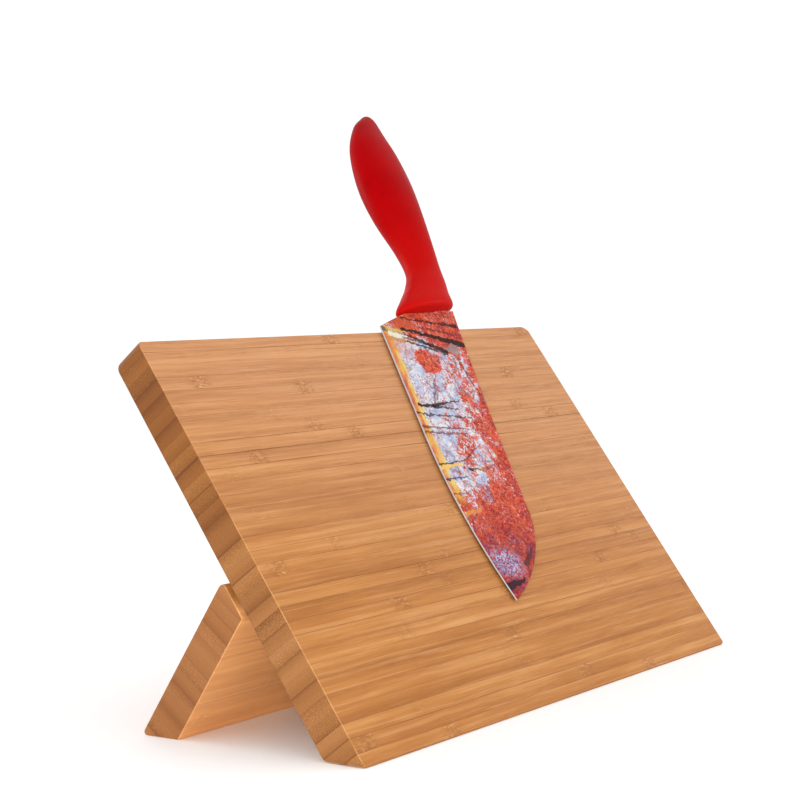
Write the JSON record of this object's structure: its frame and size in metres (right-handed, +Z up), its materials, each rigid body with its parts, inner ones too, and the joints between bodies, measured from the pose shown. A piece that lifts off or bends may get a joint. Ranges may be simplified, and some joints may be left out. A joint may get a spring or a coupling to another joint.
{
  "type": "magnetic knife easel",
  "caption": "Leaning bamboo board with a fold-out hinged leg that holds kitchen knives against its face by hidden magnets, with a santoku knife in place.",
  "frame": {"origin": "bottom centre of the whole object's box, on the table", "axes": "+Z up, +X along the board to the right as seen from the front, -Y towards the viewer of the knife face"},
  "size_m": [0.3, 0.2048, 0.2997],
  "materials": {
    "bamboo": "oiled satin, strips on edge across the width",
    "magnet_plating": "nickel plated",
    "keeper_steel": "cold rolled",
    "hinge_brass": "satin",
    "blade_coating": "printed satin coating, bare steel cutting edge",
    "handle_plastic": "satin moulded"
  },
  "bodies": {
    "board": {"front_board": "bamboo", "filler_lower": "bamboo", "keeper_lower": "keeper_steel", "magnet_lower_1": "magnet_plating", "magnet_lower_2": "magnet_plating", "magnet_lower_3": "magnet_plating", "magnet_lower_4": "magnet_plating", "magnet_lower_5": "magnet_plating", "filler_upper": "bamboo", "keeper_upper": "keeper_steel", "magnet_upper_1": "magnet_plating", "magnet_upper_2": "magnet_plating", "magnet_upper_3": "magnet_plating", "magnet_upper_4": "magnet_plating", "magnet_upper_5": "magnet_plating", "hinge_left_board_leaf": "hinge_brass", "hinge_left_pin": "hinge_brass", "hinge_left_board_screw_1": "hinge_brass", "hinge_left_board_screw_2": "hinge_brass", "hinge_left_board_screw_3": "hinge_brass", "hinge_right_board_leaf": "hinge_brass", "hinge_right_pin": "hinge_brass", "hinge_right_board_screw_1": "hinge_brass", "hinge_right_board_screw_2": "hinge_brass", "hinge_right_board_screw_3": "hinge_brass"},
    "leg": {"leg": "bamboo", "hinge_left_leg_leaf": "hinge_brass", "hinge_left_leg_screw_1": "hinge_brass", "hinge_left_leg_screw_2": "hinge_brass", "hinge_left_leg_screw_3": "hinge_brass", "hinge_right_leg_leaf": "hinge_brass", "hinge_right_leg_screw_1": "hinge_brass", "hinge_right_leg_screw_2": "hinge_brass", "hinge_right_leg_screw_3": "hinge_brass"},
    "knife": {"knife_blade": "blade_coating", "knife_handle": "handle_plastic"}
  },
  "joints": [
    {"name": "leg_hinge", "type": "hinge", "parent": "board", "child": "leg", "pos_m": [0, -0.04107, 0.0553], "axis": [-1, 0, 0], "range_deg": [0, 71.5]},
    {"name": "knife_pull", "type": "slide", "parent": "board", "child": "knife", "axis": [0, -0.8241, 0.5664], "range_m": [0, 0.15]}
  ]
}
